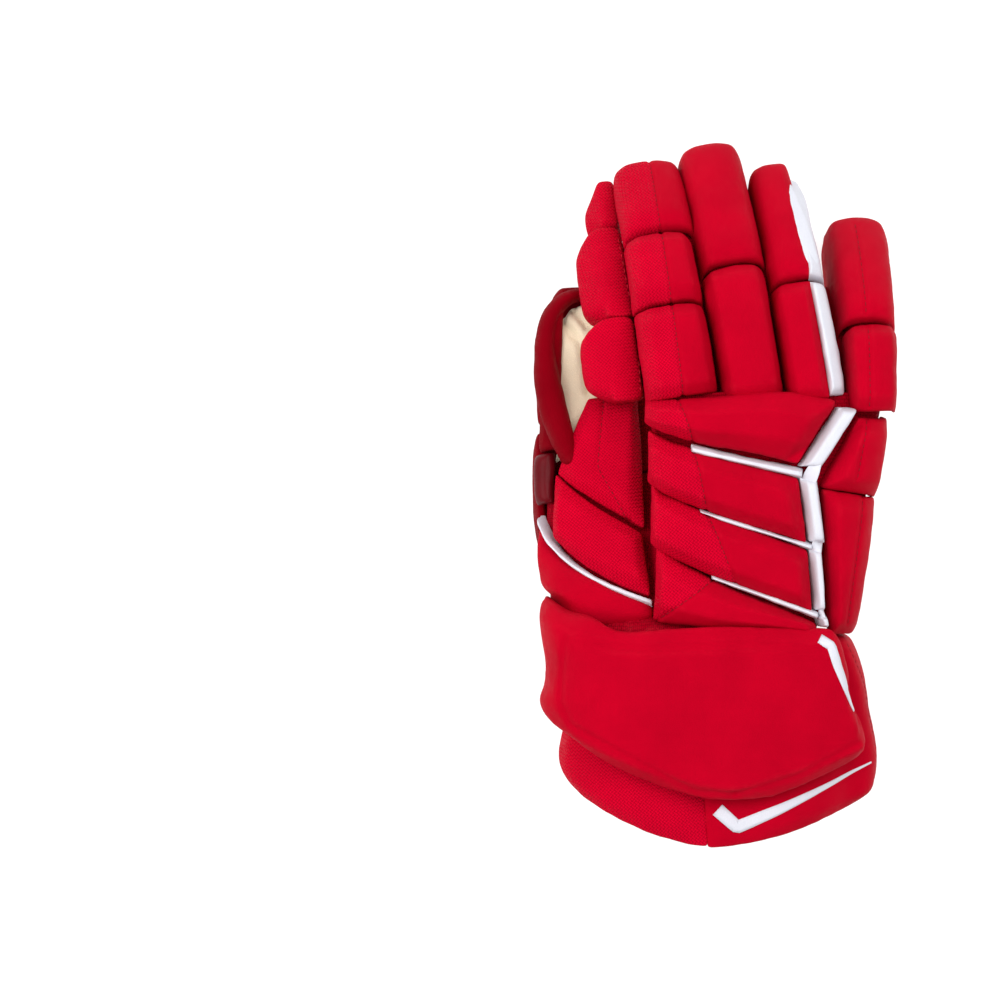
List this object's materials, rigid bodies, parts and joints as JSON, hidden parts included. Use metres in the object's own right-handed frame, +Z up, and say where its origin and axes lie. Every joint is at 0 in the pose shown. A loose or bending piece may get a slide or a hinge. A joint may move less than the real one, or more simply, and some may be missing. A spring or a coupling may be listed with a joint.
{
  "type": "ice hockey glove",
  "caption": "Padded right-hand ice hockey glove with jointed finger pads, rolls across the back, a rigid-looking thumb guard and a flared cuff.",
  "frame": {"origin": "on the floor, under the middle of the glove's overall box", "axes": "+Z up, +Y towards the fingertips, +X towards the little finger, palm down"},
  "size_m": [0.186, 0.356, 0.0997],
  "materials": {
    "red_smooth": "fine smooth weave",
    "red_mesh": "coarse ballistic weave",
    "red_knit": "knitted gusset cloth",
    "red_gloss": "glossy coated leather",
    "white_panel": "smooth synthetic leather",
    "cream_leather": "soft suede",
    "grip_black": "embossed grip patch",
    "liner_black": "embossed lining"
  },
  "bodies": {
    "root": {"hand_body": "red_knit", "index_stall": "red_knit", "middle_stall": "red_knit", "ring_stall": "red_knit", "little_stall": "red_knit", "index_palm": "cream_leather", "middle_palm": "cream_leather", "ring_palm": "cream_leather", "little_palm": "cream_leather", "thumb_sleeve": "cream_leather", "index_base_pad": "red_smooth", "index_mid_pad": "red_smooth", "index_tip_pad": "red_smooth", "middle_base_pad": "red_smooth", "middle_tip_pad": "red_smooth", "ring_base_pad": "red_smooth", "ring_tip_pad": "red_smooth", "ring_base_side": "white_panel", "ring_tip_side": "white_panel", "little_base_pad": "red_smooth", "little_tip_pad": "red_smooth", "index_side_base": "red_mesh", "index_side_mid": "red_mesh", "index_side_tip": "red_mesh", "back_row_1": "red_smooth", "back_row_2": "red_smooth", "back_row_3": "red_smooth", "back_row_4": "red_smooth", "row_end_1": "white_panel", "row_end_2": "white_panel", "row_end_3": "white_panel", "row_end_4": "white_panel", "back_strip_1": "white_panel", "back_strip_2": "white_panel", "back_strip_3": "white_panel", "side_pad_upper": "red_smooth", "side_pad_lower": "red_smooth", "web_pad": "red_mesh", "thumb_base_pad": "red_mesh", "thumb_base_strip": "white_panel", "thumb_base_lower": "red_smooth", "thumb_guard_tip": "red_smooth", "thumb_guard_mid": "red_smooth", "thumb_border": "red_smooth", "thumb_side_patch": "red_gloss", "palm_leather": "cream_leather", "palm_grip": "grip_black", "cuff_liner": "liner_black", "cuff_main": "red_smooth", "cuff_flap_thumb": "red_mesh", "cuff_flap_little": "red_smooth", "thumb_cuff_guard": "red_smooth", "cuff_palm_thumb": "red_smooth", "cuff_palm_little": "red_smooth", "cuff_label": "red_smooth", "cuff_tab": "liner_black"}
  },
  "joints": []
}
